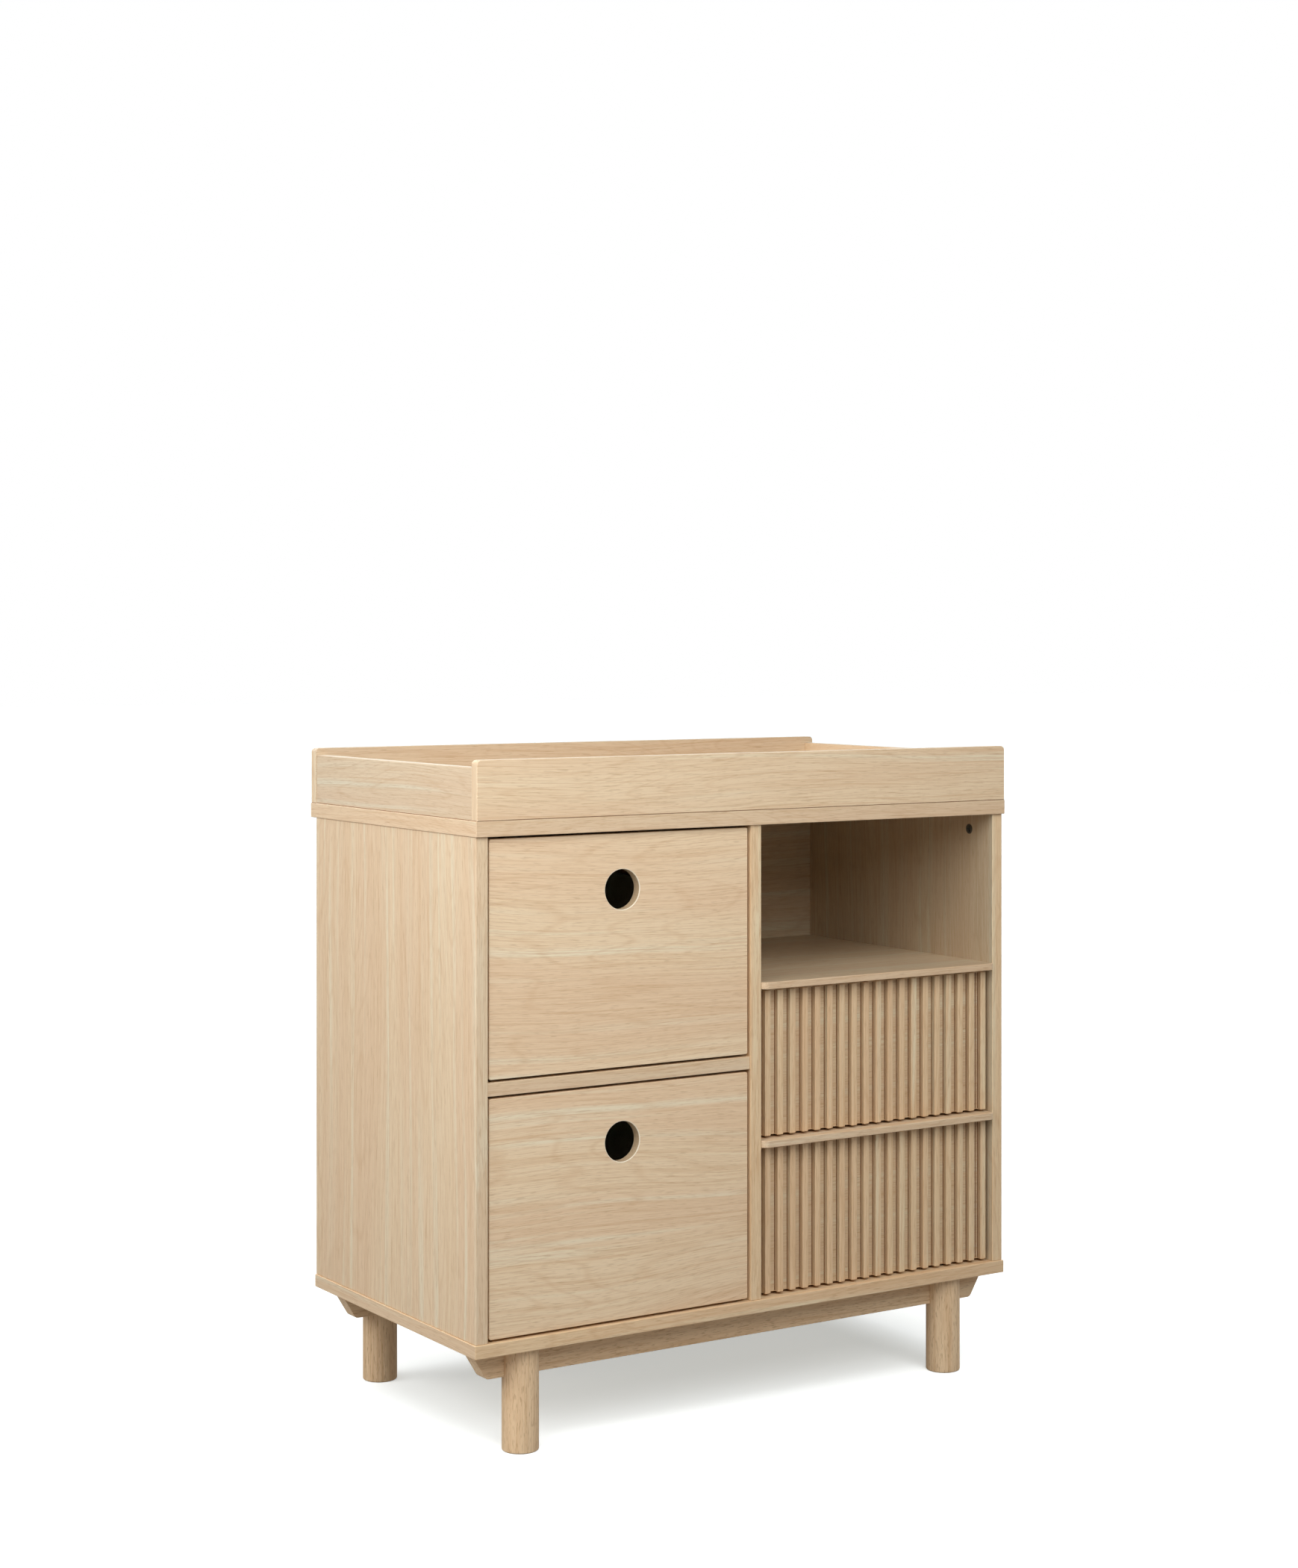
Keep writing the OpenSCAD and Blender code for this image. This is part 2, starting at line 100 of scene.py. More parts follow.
def place_new_piece(name, mesh, node, finish):
    """Makes a bmesh an object that rides and takes its slot as a CAD node does."""
    data = bpy.data.meshes.new(name)
    mesh.to_mesh(data)
    mesh.free()
    data.materials.append(finish)
    piece = bpy.data.objects.new(name, data)
    bpy.context.scene.collection.objects.link(piece)
    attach(piece, BODY_OF[node])
    return piece


def eased_piece(node, radius, finish):
    """A copy of a CAD board with its edges eased to a radius, in its finish. It stands for the board."""
    mesh = bmesh.new()
    mesh.from_mesh(frame["nodes"][node].data)
    bmesh.ops.remove_doubles(mesh, verts=mesh.verts, dist=WELD)
    bmesh.ops.dissolve_limit(mesh, angle_limit=FLAT, verts=mesh.verts, edges=mesh.edges)
    bmesh.ops.bevel(mesh, geom=outline_edges(mesh), offset=radius, segments=EASE_STEPS, profile=0.5,
                    affect="EDGES", material=-1, clamp_overlap=True)
    for face in mesh.faces:
        face.smooth = True
    for edge in mesh.edges:
        edge.smooth = len(edge.link_faces) == 2 and edge.calc_face_angle() < SHARP
    piece = place_new_piece(node + "_eased", mesh, node, finish)
    shading = piece.modifiers.new("even_shading", "WEIGHTED_NORMAL")
    shading.keep_sharp = True
    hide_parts(node)
    return piece


# ---------------------------------------------------------------- materials

# Satin and matt lacquers, foils and glue all bend light as plastics do.
FILM = {"IOR": 1.5, "Metallic": 0.0}
METAL = {"Metallic": 1.0}
PLAIN_TONE = (1.0, 1.0, 1.0)
GROWTH_RINGS = 26.0
NOISE_ROUGHNESS = 0.55
NOISE_MIDDLE = (0.5, 0.5, 0.5)
NOISE_SPAN = (0.3, 0.7)


def linear(hex_colour, tone=PLAIN_TONE):
    """An sRGB hex colour as linear RGBA, with red, green and blue scaled by a tone."""
    channels = [int(hex_colour[i:i + 2], 16) / 255 for i in (0, 2, 4)]
    light = [c / 12.92 if c <= 0.04045 else ((c + 0.055) / 1.055) ** 2.4 for c in channels]
    return [share * scale for share, scale in zip(light, tone)] + [1.0]


def add_node(tree, kind, settings=(), values=(), links=()):
    """Adds a node: its settings, its unlinked inputs' values, and the sockets linked to its other inputs."""
    node = tree.nodes.new(kind)
    for name, value in dict(settings).items():
        setattr(node, name, value)
    for name, value in dict(values).items():
        node.inputs[name].default_value = value
    for name, socket in dict(links).items():
        tree.links.new(socket, node.inputs[name])
    return node


def empty_tree(owner):
    """The cleared node tree of a material or a world."""
    owner.use_nodes = True
    owner.node_tree.nodes.clear()
    return owner.node_tree


def new_material(name, shader_values):
    """A material with one Principled shader, its tree and that shader."""
    material = bpy.data.materials.new(name)
    tree = empty_tree(material)
    shader = add_node(tree, "ShaderNodeBsdfPrincipled", values=shader_values)
    add_node(tree, "ShaderNodeOutputMaterial", links={"Surface": shader.outputs[0]})
    return material, tree, shader


def grain_place(tree, grain, depth, offset):
    """Object coordinates with X along the grain, Y across it and Z into the face, moved by an offset."""
    across = (set(AXES) - {grain, depth}).pop()
    here = add_node(tree, "ShaderNodeTexCoord")
    parts = add_node(tree, "ShaderNodeSeparateXYZ", links={0: here.outputs["Object"]})
    order = {new: parts.outputs[old.upper()] for new, old in zip("XYZ", (grain, across, depth))}
    turned = add_node(tree, "ShaderNodeCombineXYZ", links=order)
    moved = add_node(tree, "ShaderNodeMapping", values={"Location": offset},
                     links={"Vector": turned.outputs[0]})
    return moved.outputs[0]


def grain_noise(tree, place, length, width, detail):
    """Noise stretched along the grain: length and width of one streak in millimetres."""
    across = 1 / (width * MM)
    scaled = add_node(tree, "ShaderNodeMapping", values={"Scale": (1 / (length * MM), across, across)},
                      links={"Vector": place})
    return add_node(tree, "ShaderNodeTexNoise",
                    values={"Scale": 1.0, "Detail": detail, "Roughness": NOISE_ROUGHNESS},
                    links={"Vector": scaled.outputs[0]})


def bent_place(tree, place, length, width, reach):
    """The place pushed across the grain by a slow noise: streaks wander by up to reach millimetres."""
    slow = grain_noise(tree, place, length, width, detail=1.0)
    centred = add_node(tree, "ShaderNodeVectorMath", {"operation": "SUBTRACT"}, {1: NOISE_MIDDLE},
                       {0: slow.outputs["Color"]})
    push = add_node(tree, "ShaderNodeVectorMath", {"operation": "MULTIPLY"}, {1: (0, 2 * reach * MM, 0)},
                    {0: centred.outputs[0]})
    bent = add_node(tree, "ShaderNodeVectorMath", {"operation": "ADD"}, links={0: place, 1: push.outputs[0]})
    return bent.outputs[0]


def layered_colour(tree, base, layers, tone=PLAIN_TONE):
    """Mixes colours over the base; a layer is (noise, where it starts, where it is full, share, colour)."""
    colour = None
    for noise, low, high, strength, tint in layers:
        share = add_node(tree, "ShaderNodeMapRange", {"interpolation_type": "SMOOTHSTEP"},
                         {"From Min": low, "From Max": high, "To Min": 0.0, "To Max": strength},
                         {"Value": noise.outputs[0]})
        mix = add_node(tree, "ShaderNodeMix", {"data_type": "RGBA"},
                       {6: linear(base, tone), 7: linear(tint, tone)}, {0: share.outputs[0]})
        if colour:
            tree.links.new(colour, mix.inputs[6])
        colour = mix.outputs[2]
    return colour


def finish_surface(tree, shader, colour, worn, gloss, relief, strength, depth, sunk=False):
    """Gives a shader its colour, its gloss and its relief.

    The roughness runs between the two gloss values as the worn noise does. The relief noise stands up, or is
    sunk, by a depth in millimetres.
    """
    roughness = add_node(tree, "ShaderNodeMapRange",
                         values={"From Min": NOISE_SPAN[0], "From Max": NOISE_SPAN[1],
                                 "To Min": gloss[0], "To Max": gloss[1]},
                         links={"Value": worn.outputs[0]})
    bump = add_node(tree, "ShaderNodeBump", {"invert": sunk}, {"Strength": strength, "Distance": depth * MM},
                    {"Height": relief.outputs[0]})
    tree.links.new(colour, shader.inputs["Base Color"])
    tree.links.new(roughness.outputs[0], shader.inputs["Roughness"])
    tree.links.new(bump.outputs[0], shader.inputs["Normal"])


def oak_foil(name, grain, depth, offset, tone, wander):
    """Light oak foil: oak printed on paper, pressed on board and sealed with a satin melamine film.

    The eye sees broad rosy and pale grey-green stripes that wander along the grain by some millimetres, faint
    growth rings, and fine darker pores. The real pores are 0.3 mm wide; they are drawn 1.1 mm wide so that
    they show. The tone makes a sheet paler, darker or warmer than the usual one.
    """
    material, tree, shader = new_material(name, FILM)
    place = bent_place(tree, grain_place(tree, grain, depth, offset), length=600, width=260, reach=wander)
    slope = grain_noise(tree, place, length=1000, width=130, detail=1.5)
    counted = add_node(tree, "ShaderNodeMath", {"operation": "MULTIPLY"}, {1: GROWTH_RINGS},
                       {0: slope.outputs[0]})
    rings = add_node(tree, "ShaderNodeMath", {"operation": "PINGPONG"}, {1: 0.5}, {0: counted.outputs[0]})
    zones = grain_noise(tree, place, length=1200, width=90, detail=1.0)
    stripes = grain_noise(tree, place, length=1100, width=17, detail=2.0)
    streaks = grain_noise(tree, place, length=400, width=3.4, detail=3.0)
    fibres = grain_noise(tree, place, length=90, width=1.4, detail=2.0)
    pores = grain_noise(tree, place, length=20, width=1.1, detail=1.0)
    colour = layered_colour(tree, "E1CAA9", (
        (zones, 0.38, 0.62, 0.60, "DBBD9C"),
        (stripes, 0.50, 0.72, 0.62, "E3DBC1"),
        (streaks, 0.46, 0.70, 0.50, "D0AE87"),
        (rings, 0.36, 0.50, 0.26, "C9A57E"),
        (fibres, 0.48, 0.66, 0.34, "C39E76"),
        (pores, 0.55, 0.69, 0.32, "AC875F"),
    ), tone)
    finish_surface(tree, shader, colour, fibres, (0.42, 0.56), pores, strength=0.35, depth=0.08, sunk=True)
    return material


def solid_oak(name, grain, offset):
    """Turned and planed oak under a matt clear lacquer: long straight grain with short dark pores."""
    material, tree, shader = new_material(name, FILM)
    place = bent_place(tree, grain_place(tree, grain, "y", offset), length=400, width=120, reach=8)
    zones = grain_noise(tree, place, length=400, width=24, detail=1.0)
    streaks = grain_noise(tree, place, length=180, width=5, detail=3.0)
    fibres = grain_noise(tree, place, length=40, width=2.0, detail=2.0)
    pores = grain_noise(tree, place, length=12, width=1.4, detail=1.0)
    colour = layered_colour(tree, "ECCFA8", (
        (zones, 0.40, 0.62, 0.6, "E4C198"),
        (streaks, 0.45, 0.68, 0.5, "CDA475"),
        (fibres, 0.48, 0.66, 0.3, "BE9366"),
        (pores, 0.56, 0.70, 0.45, "9E7347"),
    ))
    finish_surface(tree, shader, colour, fibres, (0.50, 0.62), pores, strength=0.4, depth=0.1, sunk=True)
    return material


def pale_melamine(name, film, clouded, speckled):
    """Melamine film on chipboard or edge band: matt, faintly clouded, with a fine pressed-in speckle."""
    material, tree, shader = new_material(name, FILM)
    here = add_node(tree, "ShaderNodeTexCoord").outputs["Object"]
    cloud = grain_noise(tree, here, length=90, width=90, detail=2.0)
    speckle = grain_noise(tree, here, length=2.4, width=2.4, detail=2.0)
    colour = layered_colour(tree, film, (
        (cloud, 0.40, 0.62, 0.6, clouded),
        (speckle, 0.50, 0.66, 0.4, speckled),
    ))
    finish_surface(tree, shader, colour, speckle, (0.48, 0.62), speckle, strength=0.3, depth=0.05)
    return material


def glue_coloured_painted_shade(name):
    """A rough brown bead coloured like dried wood glue with saw dust in it, that reads as a dark line:
    painted shade in the joints.
    """
    material, tree, shader = new_material(name, FILM)
    here = add_node(tree, "ShaderNodeTexCoord").outputs["Object"]
    dust = grain_noise(tree, here, length=4, width=4, detail=2.0)
    colour = layered_colour(tree, "7A5638", (
        (dust, 0.42, 0.62, 0.7, "8F6A48"),
    ))
    finish_surface(tree, shader, colour, dust, (0.55, 0.80), dust, strength=0.4, depth=0.1)
    return material


def plated_metal(name, light, dark, rough, length, width):
    """Zinc on steel or die-cast zinc: a grey metal whose plating clouds over and takes fine drawing marks."""
    material, tree, shader = new_material(name, METAL)
    here = grain_place(tree, "y", "x", (0, 0, 0))
    cloud = grain_noise(tree, here, length=30, width=12, detail=2.0)
    marks = grain_noise(tree, here, length, width, detail=2.0)
    colour = layered_colour(tree, light, (
        (cloud, 0.35, 0.65, 0.7, dark),
        (marks, 0.50, 0.68, 0.4, dark),
    ))
    finish_surface(tree, shader, colour, cloud, (rough - 0.08, rough + 0.08), marks, strength=0.3, depth=0.03)
    return material


# ---------------------------------------------------------------- boards

BOARD_EASE = 1.0 * MM
RIB_EASE = 1.6 * MM
LEG_EASE = 1.0 * MM
BOX_EASE = 0.6 * MM
# The glue beads and seams are dark strips that paint the shade in the joints.
GLUE_BEAD = 0.9 * MM
GLUE_SINK = 0.1 * MM
GLUE_ROUNDING = 0.7 * GLUE_BEAD
GLUE_STEPS = 2
SEAM_HEIGHT = 1.3 * MM
SEAM_INSET = 0.05 * MM

BOARD_GRAIN = {
    "base_panel": "x",
    "top_panel": "x",
    "left_side_panel": "z",
    "right_side_panel": "z",
    "centre_divider": "z",
    "left_back_panel": "x",
    "right_back_panel": "x",
    "drawer_rail": "x",
    "niche_shelf": "x",
    "drawer_shelf": "x",
    "tray_front_board": "x",
    "tray_back_board": "x",
    "tray_left_board": "y",
    "tray_right_board": "y",
    "plain_upper_front": "x",
    "plain_lower_front": "x",
    "reeded_upper_front": "z",
    "reeded_lower_front": "z",
}
SOLID_GRAIN = {
    "front_stretcher": "x",
    "rear_stretcher": "x",
    "front_left_leg": "z",
    "front_right_leg": "z",
    "rear_left_leg": "z",
    "rear_right_leg": "z",
}
UP = Vector((0, 0, 1))

# How far apart on the printed roll, in metres, two boards are cut.
FOIL_STEP = Vector((1.37, 0.83, 0.59))

# The sheets differ a little in tone: red, green and blue against the usual sheet. The groove, rib-wall and
# niche tones are darker as painted shade, and the tray's back board's cool tone paints shade too.
PALE = (1.12, 1.12, 1.12)
HALF_PALE = (1.06, 1.06, 1.06)
WARM = (1.06, 1.01, 0.93)
COOL = (0.90, 0.92, 0.95)
GROOVE_PAINTED_SHADE = (0.95, 0.94, 0.90)
NICHE_PAINTED_SHADE = (0.78, 0.80, 0.80)
RIB_WALL_PAINTED_SHADE = (0.82, 0.79, 0.74)
SHEET_TONE = {
    "plain_upper_front": PALE,
    "plain_lower_front": PALE,
    "tray_front_board": HALF_PALE,
    # The back board's cooler, darker tone paints the shade that the tray's front board throws on it.
    "tray_back_board": COOL,
    "tray_left_board": COOL,
    "centre_divider": WARM,
    "right_side_panel": WARM,
    "base_panel": WARM,
    "reeded_upper_front": WARM,
    "reeded_lower_front": WARM,
}

# The faces that line the niche, and the way each looks: their foil is toned darker as painted shade, since
# the lights reach further into the niche than they should.
NICHE_PAINTED_SHADE_FACES = {
    "centre_divider": Vector((1, 0, 0)),
    "right_side_panel": Vector((-1, 0, 0)),
    "right_back_panel": Vector((0, -1, 0)),
    "niche_shelf": Vector((0, 0, 1)),
}

# How far the printed grain wanders across a board, in millimetres.
FRONT_WANDER = 34
BOARD_WANDER = 22

# The finger hole's eased rim against the circle round the square box in the hole.
HOLE_RIM = 1.14


def thin_axis(node):
    """The axis through a board's thickness."""
    low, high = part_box(node)
    return min(AXES, key=lambda axis: high[AXES.index(axis)] - low[AXES.index(axis)])


def lay_painted_shade_in_grooves(piece, floor_finish, wall_finish):
    """The floors between the ribs take foil with its grain across, toned a little darker as painted shade,
    and the ribs' walls a darker strip of foil that paints their shade.
    """
    front = min(vert.co.y for vert in piece.data.vertices)
    piece.data.materials.append(floor_finish)
    piece.data.materials.append(wall_finish)
    for face in piece.data.polygons:
        if face.normal.y < -STRAIGHT and face.center.y > front + RIB_EASE:
            face.material_index = 1
        elif abs(face.normal.x) > STRAIGHT:
            face.material_index = 2


def lay_edge_bands(piece, node, grain, bands):
    """The ends that cut across a board's grain take an edge band, whose own grain runs along the end."""
    low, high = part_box(node)
    across = AXES.index(grain)
    others = [axis for axis in range(3) if axis != across]
    along = max(others, key=lambda axis: high[axis] - low[axis])
    piece.data.materials.append(bands[AXES[along]])
    for face in piece.data.polygons:
        if abs(face.normal[across]) > STRAIGHT:
            face.material_index = 1


def lay_face(piece, outwards, finish):
    """The flat faces that look one way take a finish of their own."""
    piece.data.materials.append(finish)
    for face in piece.data.polygons:
        if face.normal.dot(outwards) > STRAIGHT:
            face.material_index = len(piece.data.materials) - 1


def upright(edges, length):
    """The edges that rise by more than a length."""
    return [edge for edge in edges if abs(edge.verts[0].co.z - edge.verts[1].co.z) > length]


def make_tray_painted_shade_seams(finish):
    """A dark strip of glue colour in the joint between each tray board and the top panel, just behind the
    face: painted shadow for the gap.
    """
    for side in ("front", "back", "left", "right"):
        node = "tray_" + side + "_board"
        low, high = (Vector(corner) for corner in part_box(node))
        high.z = low.z + SEAM_HEIGHT
        inset = Vector((SEAM_INSET, SEAM_INSET, 0))
        mesh = bmesh.new()
        bmesh.ops.create_cube(mesh, size=1)
        bmesh.ops.scale(mesh, vec=high - low - 2 * inset, verts=mesh.verts)
        bmesh.ops.translate(mesh, vec=(low + high) / 2, verts=mesh.verts)
        bmesh.ops.bevel(mesh, geom=upright(mesh.edges, SEAM_HEIGHT / 2), offset=SEAM_HEIGHT,
                        segments=GLUE_STEPS, profile=0.5, affect="EDGES", material=-1)
        place_new_piece(node + "_glue", mesh, node, finish)


def rib_walls(node):
    """Where each rib's walls stand across a reeded front, and the way each looks, as -1 or 1."""
    low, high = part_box(node)
    walls = {}
    for face in frame["nodes"][node].data.polygons:
        inside = low[0] + GLUE_BEAD < face.center.x < high[0] - GLUE_BEAD
        if abs(face.normal.x) > STRAIGHT and inside:
            walls[round(face.center.x, 5)] = math.copysign(1, face.normal.x)
    return walls


def make_painted_shade_beads(node, finish):
    """A dark bead of glue colour along the foot of each rib's two walls, where the rib stands on its board:
    painted shade in the corner.
    """
    low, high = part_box(node)
    faces = frame["nodes"][node].data.polygons
    floor = max(face.center.y for face in faces if face.normal.y < -STRAIGHT)
    thick = GLUE_BEAD + GLUE_SINK
    reach = (GLUE_BEAD - GLUE_SINK) / 2
    half_way_up = (low[2] + high[2]) / 2
    mesh = bmesh.new()
    for wall, side in rib_walls(node).items():
        bead = bmesh.ops.create_cube(mesh, size=1)["verts"]
        bmesh.ops.scale(mesh, vec=(thick, thick, high[2] - low[2] - 2 * RIB_EASE), verts=bead)
        bmesh.ops.translate(mesh, vec=(wall + side * reach, floor - reach, half_way_up), verts=bead)
        edges = {edge for vert in bead for edge in vert.link_edges}
        outer = [edge for edge in upright(edges, GLUE_BEAD)
                 if all((v.co.x - wall) * side > 0 and v.co.y < floor for v in edge.verts)]
        bmesh.ops.bevel(mesh, geom=outer, offset=GLUE_ROUNDING, segments=GLUE_STEPS, profile=0.5,
                        affect="EDGES", material=-1)
    place_new_piece(node + "_glue", mesh, node, finish)


def lay_hole_band(piece, opening, wall_finish, rim_highlight_finish):
    """The finger hole's wall takes an edge band and its eased rims a pale, near white finish: a painted
    highlight round the rim.

    The opening is the square box that fits in the hole.
    """
    low, high = (Vector(corner) for corner in opening["box_m"])
    middle = (low + high) / 2
    radius = math.hypot(high.x - low.x, high.z - low.z) / 2
    piece.data.materials.append(wall_finish)
    piece.data.materials.append(rim_highlight_finish)
    for face in piece.data.polygons:
        if math.hypot(face.center.x - middle.x, face.center.z - middle.z) < radius * HOLE_RIM:
            wall = abs(face.normal.y) < 1 - STRAIGHT
            face.material_index = 1 if wall else 2


def make_boards():
    """Every foiled board, each cut from its own place on the printed roll, with the bands on it. The darker
    groove, rib-wall and niche foils and the dark glue strips are painted shade; the pale tray tops and hole
    rims are painted highlights.
    """
    # The groove floors' and the rib walls' foils are toned darker: painted shade in the recesses.
    groove_painted_shade_foil = oak_foil("light_oak_foil_grooves_painted_shade", "x", "y", FOIL_STEP * len(BOARD_GRAIN), GROOVE_PAINTED_SHADE,
                           BOARD_WANDER)
    rib_wall_painted_shade_foil = oak_foil("light_oak_foil_rib_walls_painted_shade", "z", "x", -FOIL_STEP, RIB_WALL_PAINTED_SHADE, BOARD_WANDER)
    hole_band = pale_melamine("sand_edge_band", "CDB391", "C2A682", "B3946F")
    # The pale finish is a painted highlight on the hole rims and the tray boards' tops.
    painted_highlight_core = pale_melamine("pale_board_painted_highlight", "F6EBD6", "F0E2C8", "E3D0B0")
    edge_bands = {along: oak_foil("light_oak_edge_band_" + along, along, "z" if along == "x" else "x",
                                  FOIL_STEP / 2, PLAIN_TONE, BOARD_WANDER) for along in AXES}
    # The glue finish paints the shade in the joints.
    glue = glue_coloured_painted_shade("brown_glue")
    openings = {opening["name"]: opening for opening in frame["record"]["physics"]["openings"]}
    for count, (node, grain) in enumerate(BOARD_GRAIN.items()):
        wander = FRONT_WANDER if node.startswith("plain") else BOARD_WANDER
        finish = oak_foil("light_oak_foil_" + node, grain, thin_axis(node), FOIL_STEP * count,
                          SHEET_TONE.get(node, PLAIN_TONE), wander)
        if node.startswith("reeded"):
            lay_painted_shade_in_grooves(eased_piece(node, RIB_EASE, finish), groove_painted_shade_foil, rib_wall_painted_shade_foil)
            make_painted_shade_beads(node, glue)
        elif node.startswith("plain"):
            drawer = node.removesuffix("_front")
            opening = openings[drawer + "_finger_hole"]
            lay_hole_band(eased_piece(node, BOARD_EASE, finish), opening, hole_band, painted_highlight_core)
        else:
            piece = eased_piece(node, BOARD_EASE, finish)
            lay_edge_bands(piece, node, grain, edge_bands)
            # The niche's lining takes the darker foil: painted shade.
            if node in NICHE_PAINTED_SHADE_FACES:
                painted_shade_lining = oak_foil("light_oak_foil_niche_painted_shade_" + node, grain, thin_axis(node), FOIL_STEP * count,
                                  NICHE_PAINTED_SHADE, BOARD_WANDER)
                lay_face(piece, NICHE_PAINTED_SHADE_FACES[node], painted_shade_lining)
            # The tray boards' tops take the pale finish: a painted highlight.
            if node.startswith("tray"):
                lay_face(piece, UP, painted_highlight_core)
    make_tray_painted_shade_seams(glue)


def make_underframe():
    """The legs and stretchers, each from its own length of oak."""
    for count, (node, grain) in enumerate(SOLID_GRAIN.items()):
        finish = solid_oak("lacquered_oak_" + node, grain, FOIL_STEP * count)
        eased_piece(node, LEG_EASE, finish)


def make_drawer_boxes():
    """The sides, back and bottom of each drawer box."""
    finish = pale_melamine("cream_melamine", "E9E3D6", "E2DACA", "D3CAB8")
    for drawer in DRAWERS:
        for part in ("left_side", "right_side", "back", "bottom"):
            eased_piece(drawer + "_" + part, BOX_EASE, finish)


def finish_fittings():
    """The metal and beech fittings keep their CAD shape and get their real finish."""
    zinc_steel = plated_metal("zinc_plated_steel", "C9CBCC", "9DA0A2", 0.36, 12, 1.2)
    runner_steel = plated_metal("drawn_runner_steel", "C6C8C9", "A2A5A7", 0.32, 60, 1.2)
    die_cast = plated_metal("die_cast_zinc", "8B8D88", "5E605B", 0.45, 3, 1.5)
    beech = solid_oak("turned_beech", "z", (0, 0, 0))
    finishes = {"steel": zinc_steel, "runner_steel": runner_steel, "zinc": die_cast, "beech": beech}
    for node, slot in SLOT_OF.items():
        if slot in finishes:
            materials = frame["nodes"][node].data.materials
            materials.clear()
            materials.append(finishes[slot])


# ---------------------------------------------------------------- studio

CAMERA_PLACE = (-2.148, -3.284, 1.076)
CAMERA_TURN = -32.92
LENS = 61.08
SENSOR = 36
LENS_SHIFT = -0.0898
FARTHEST_SEEN = 100

FLOOR_REACH = 40
FLOOR_SEEN = (0.87, 0.89, 0.90, 1.0)
FLOOR_TINT = (0.94, 1.0, 1.0, 1.0)
FLOOR_LIT = 0.45
FLOOR_THROWN = (0.20, 0.20, 0.20, 1.0)
FLOOR_GLOW = 0.13
FLOOR_LIGHT = 2.25
FLOOR_LIGHT_SPREAD = 70
WHITE = (1.0, 1.0, 1.0, 1.0)
SKY_REFLECTED = 0.7

# Each softbox: degrees left of the front, degrees up, metres away, metres across, watts.
LIGHT_AIM = Vector((0, 0, 0.5))
FILL_LIGHTS = {
    "right_softbox": (-98, 20, 3.4, 2.4, 60),
    "back_softbox": (172, 30, 3.4, 2.4, 50),
}
MAIN_LIGHTS = {
    "left_softbox": (100, 22, 3.8, 2.4, 56),
    "front_softbox": (10, 39, 3.0, 2.2, 56),
    "corner_softbox": (62, 32, 2.1, 1.2, 18),
}


def make_camera():
    """A level camera at standing height, to the left of the front."""
    lens = bpy.data.cameras.new("camera")
    lens.sensor_width = SENSOR
    lens.lens = LENS
    lens.shift_y = LENS_SHIFT
    lens.clip_end = FARTHEST_SEEN
    camera = bpy.data.objects.new("camera", lens)
    camera.location = CAMERA_PLACE
    camera.rotation_euler = (math.radians(90), 0, math.radians(CAMERA_TURN))
    bpy.context.scene.collection.objects.link(camera)
    bpy.context.scene.camera = camera


def white_paper():
    """White paper for the floor: bright to the eye, but it throws back less light than such paper would."""
    material = bpy.data.materials.new("white_paper_sweep")
    tree = empty_tree(material)
    path = add_node(tree, "ShaderNodeLightPath")
    shade = add_node(tree, "ShaderNodeBsdfDiffuse", values={"Color": FLOOR_SEEN})
    lit = add_node(tree, "ShaderNodeEmission", values={"Color": FLOOR_TINT, "Strength": FLOOR_LIT})
    seen = add_node(tree, "ShaderNodeAddShader", links={0: shade.outputs[0], 1: lit.outputs[0]})
    grey = add_node(tree, "ShaderNodeBsdfDiffuse", values={"Color": FLOOR_THROWN})
    glow = add_node(tree, "ShaderNodeEmission", values={"Strength": FLOOR_GLOW})
    thrown = add_node(tree, "ShaderNodeAddShader", links={0: grey.outputs[0], 1: glow.outputs[0]})
    both = add_node(tree, "ShaderNodeMixShader",
                    links={0: path.outputs["Is Camera Ray"], 1: thrown.outputs[0], 2: seen.outputs[0]})
    add_node(tree, "ShaderNodeOutputMaterial", links={"Surface": both.outputs[0]})
    return material


def make_floor():
    """A plain floor that runs far past the table on every side."""
    mesh = bmesh.new()
    bmesh.ops.create_grid(mesh, x_segments=1, y_segments=1, size=FLOOR_REACH)
    data = bpy.data.meshes.new("floor")
    mesh.to_mesh(data)
    mesh.free()
    data.materials.append(white_paper())
    floor = bpy.data.objects.new("floor", data)
    bpy.context.scene.collection.objects.link(floor)
    return floor


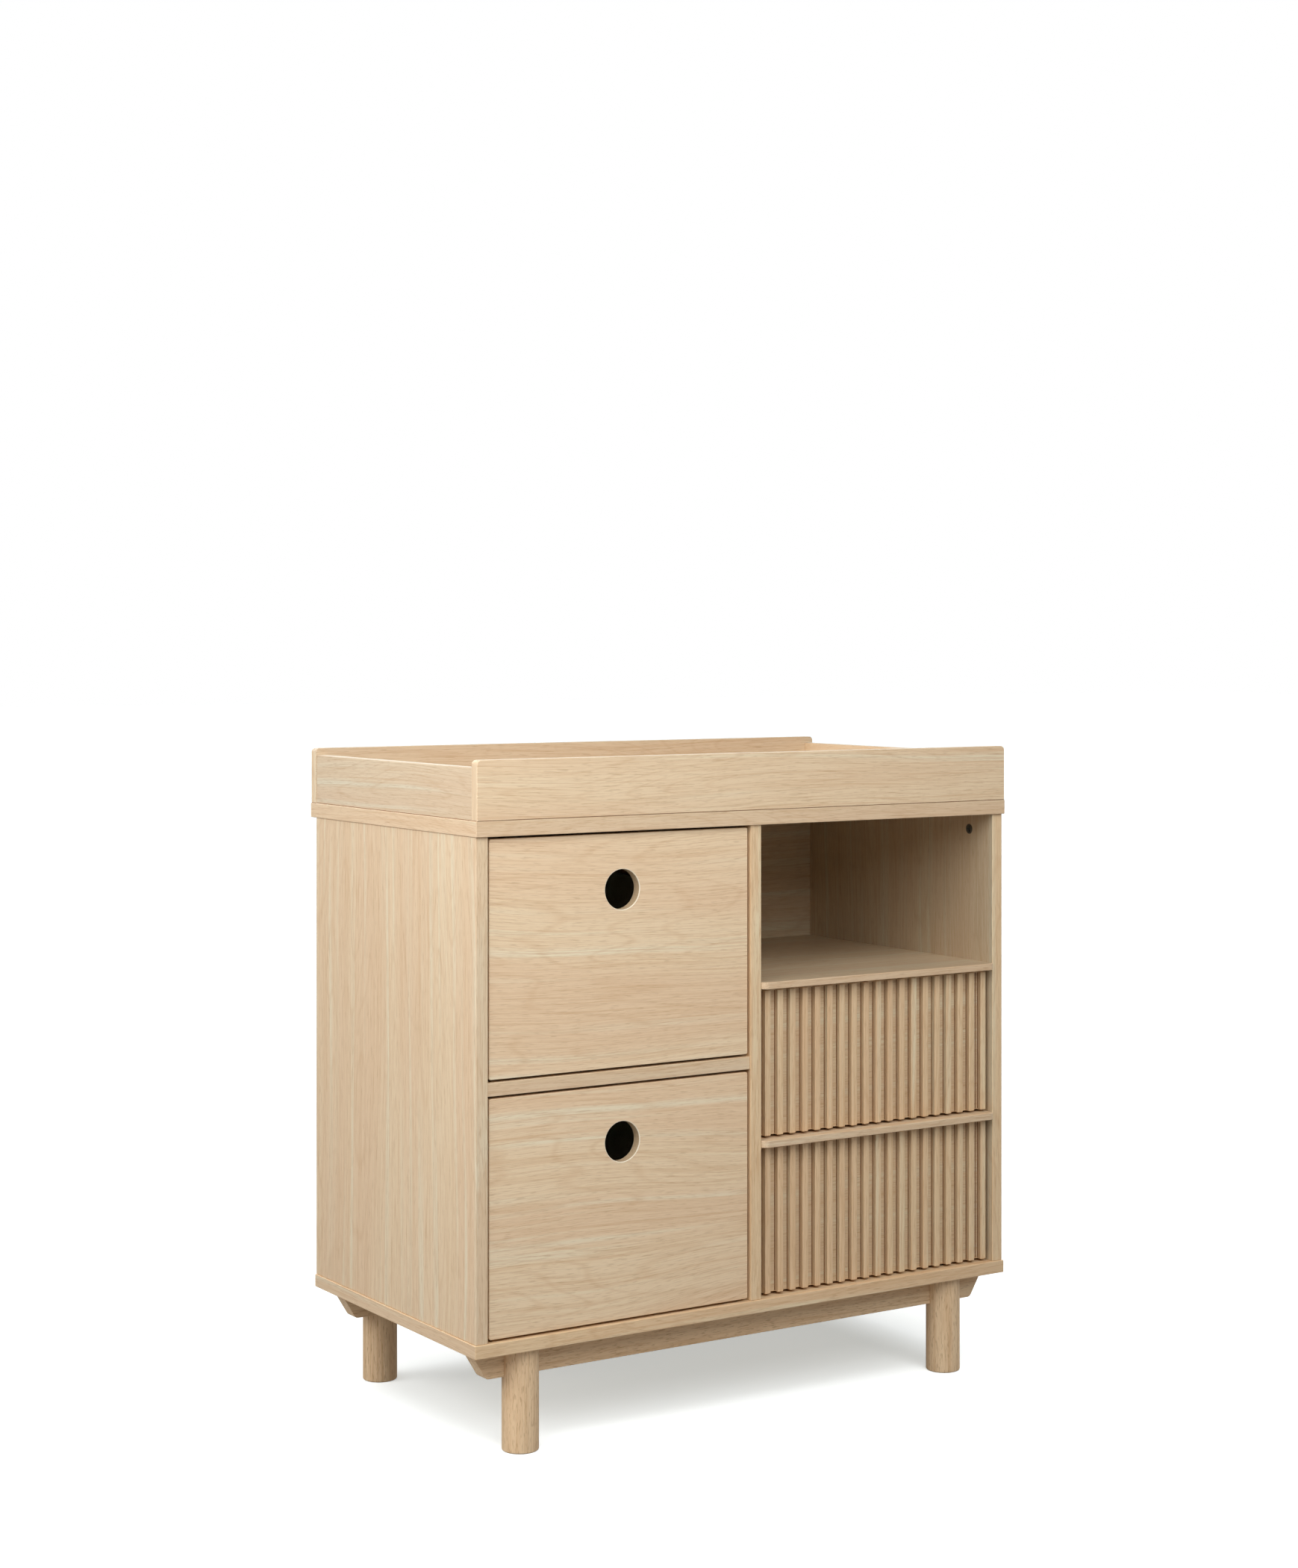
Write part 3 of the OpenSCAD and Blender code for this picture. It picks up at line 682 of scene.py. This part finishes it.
def make_sky():
    """White paper all round, which the eye and the satin film's reflections see but which lights nothing."""
    world = bpy.data.worlds.new("studio")
    tree = empty_tree(world)
    path = add_node(tree, "ShaderNodeLightPath")
    strength = add_node(tree, "ShaderNodeMath", {"operation": "MULTIPLY_ADD"}, {1: SKY_REFLECTED},
                        {0: path.outputs["Is Glossy Ray"], 2: path.outputs["Is Camera Ray"]})
    paper = add_node(tree, "ShaderNodeBackground", values={"Color": WHITE},
                     links={"Strength": strength.outputs[0]})
    add_node(tree, "ShaderNodeOutputWorld", links={"Surface": paper.outputs[0]})
    bpy.context.scene.world = world


def make_softbox(name, left, up, distance, size, watts):
    """A square soft light that faces the table and can't be seen itself."""
    turn, tilt = math.radians(left), math.radians(up)
    level = math.cos(tilt)
    towards = Vector((-math.sin(turn) * level, -math.cos(turn) * level, math.sin(tilt)))
    data = bpy.data.lights.new(name, "AREA")
    data.energy = watts
    data.size = size
    light = bpy.data.objects.new(name, data)
    light.location = LIGHT_AIM + towards * distance
    light.rotation_euler = towards.to_track_quat("Z", "Y").to_euler()
    light.visible_camera = False
    bpy.context.scene.collection.objects.link(light)
    return light


def keep_off(light, thing):
    """Stops a light from falling on a thing."""
    unlit = bpy.data.collections.new(light.name + "_keeps_off")
    unlit.objects.link(thing)
    unlit.collection_objects[0].light_linking.link_state = "EXCLUDE"
    light.light_linking.receiver_collection = unlit


def make_floor_light(floor):
    """An even soft light from overhead that falls on the floor alone, so that the paper stays white."""
    only_floor = bpy.data.collections.new("only_floor")
    only_floor.objects.link(floor)
    data = bpy.data.lights.new("floor_light", "SUN")
    data.energy = FLOOR_LIGHT
    data.angle = math.radians(FLOOR_LIGHT_SPREAD)
    light = bpy.data.objects.new("floor_light", data)
    light.light_linking.receiver_collection = only_floor
    bpy.context.scene.collection.objects.link(light)


def make_studio():
    """Everything round the table. The fill lights only keep its right side and its back from going dark."""
    make_camera()
    floor = make_floor()
    make_floor_light(floor)
    make_sky()
    for name, setting in FILL_LIGHTS.items():
        keep_off(make_softbox(name, *setting), floor)
    for name, setting in MAIN_LIGHTS.items():
        make_softbox(name, *setting)
    bpy.context.scene.view_settings.view_transform = "Standard"


# ---------------------------------------------------------------- build

make_boards()
make_underframe()
make_drawer_boxes()
finish_fittings()
make_studio()
